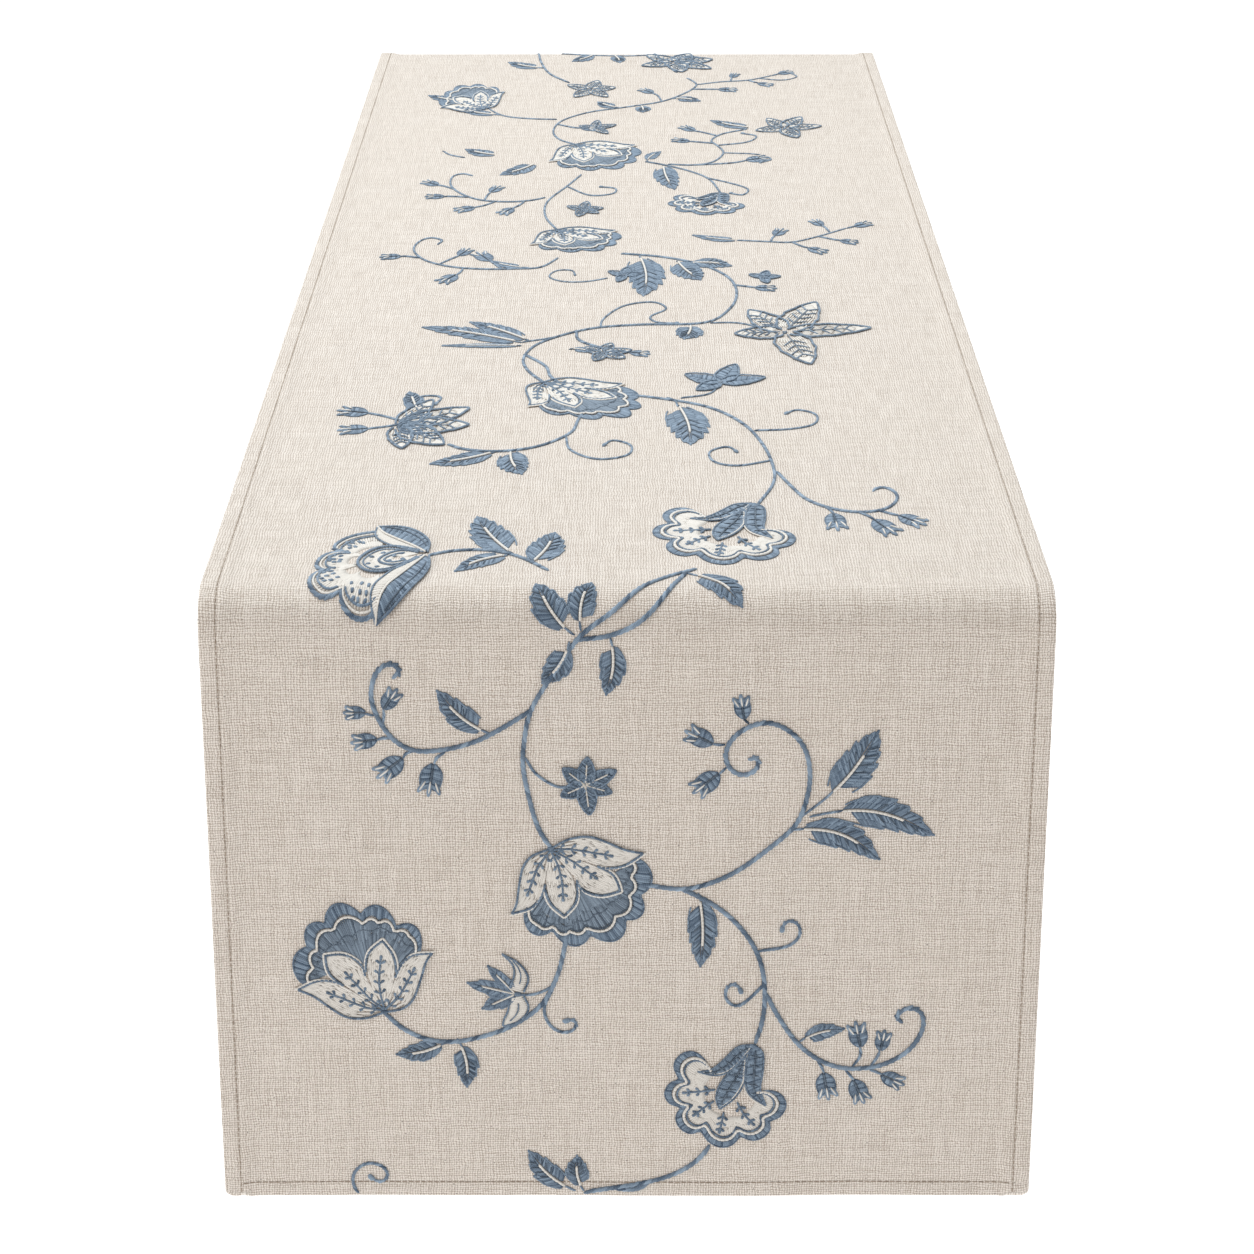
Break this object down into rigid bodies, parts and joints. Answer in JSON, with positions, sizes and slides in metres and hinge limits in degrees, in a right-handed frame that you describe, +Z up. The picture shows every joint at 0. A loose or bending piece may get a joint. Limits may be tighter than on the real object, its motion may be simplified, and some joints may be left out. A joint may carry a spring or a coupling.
{
  "type": "table runner",
  "caption": "Linen table runner with blue and cream crewel flowers and vines, hemmed on all sides, draped over a table top with a drop at each end.",
  "frame": {"origin": "middle of the top panel's underside, where the cloth rests on the table", "axes": "+X across the runner to the viewer's right, +Y along it from the front drop to the far end, +Z up"},
  "size_m": [0.406, 1.195, 0.3297],
  "materials": {
    "linen": "matt plain-woven slub linen",
    "hem_linen": "matt plain-woven slub linen, folded",
    "sewing_thread": "matt cotton thread",
    "blue_thread": "soft sheen embroidery thread",
    "deep_blue_thread": "soft sheen embroidery thread",
    "pale_thread": "soft sheen embroidery thread"
  },
  "bodies": {
    "root": {"back_bell_flower": "pale_thread", "back_hem_stitching": "sewing_thread", "back_hem_turning": "hem_linen", "back_left_leaf": "blue_thread", "back_left_stem": "blue_thread", "back_main_flower": "deep_blue_thread", "back_right_flower": "deep_blue_thread", "back_right_stem": "blue_thread", "front_bell_flower": "pale_thread", "front_bottom_stem": "blue_thread", "front_bud_branch": "blue_thread", "front_falling_stem": "blue_thread", "front_hem_stitching": "sewing_thread", "front_hem_turning": "hem_linen", "front_left_flower": "deep_blue_thread", "front_left_stem": "blue_thread", "front_lily": "blue_thread", "front_low_branch": "blue_thread", "front_lower_leaf": "blue_thread", "front_main_flower": "deep_blue_thread", "front_main_stem": "blue_thread", "front_middle_leaf": "blue_thread", "front_right_stem": "blue_thread", "front_star_flower": "blue_thread", "front_upper_leaf": "blue_thread", "front_vine_leaf": "blue_thread", "ground_cloth": "linen", "left_hem_stitching": "sewing_thread", "left_hem_turning": "hem_linen", "right_hem_stitching": "sewing_thread", "right_hem_turning": "hem_linen", "top_back_stem": "blue_thread", "top_bell_flower": "pale_thread", "top_bell_leaf": "blue_thread", "top_bell_stem": "blue_thread", "top_far_flower": "deep_blue_thread", "top_far_left_branch": "blue_thread", "top_far_left_flower": "blue_thread", "top_far_right_branch": "blue_thread", "top_far_small_flower": "blue_thread", "top_far_stem": "blue_thread", "top_left_flower": "pale_thread", "top_left_leaf": "blue_thread", "top_left_stem": "blue_thread", "top_middle_flower": "deep_blue_thread", "top_middle_leaf": "blue_thread", "top_middle_left_branch": "blue_thread", "top_middle_stem": "blue_thread", "top_near_flower": "deep_blue_thread", "top_near_stem": "blue_thread", "top_peony": "pale_thread", "top_peony_leaf": "blue_thread", "top_peony_stem": "blue_thread", "top_right_branch": "blue_thread", "top_right_flower": "pale_thread", "top_right_leaf": "blue_thread", "top_small_bell_flower": "blue_thread", "top_small_bell_stem": "blue_thread", "top_star_flower": "pale_thread", "top_vine_leaf": "blue_thread"}
  },
  "joints": []
}
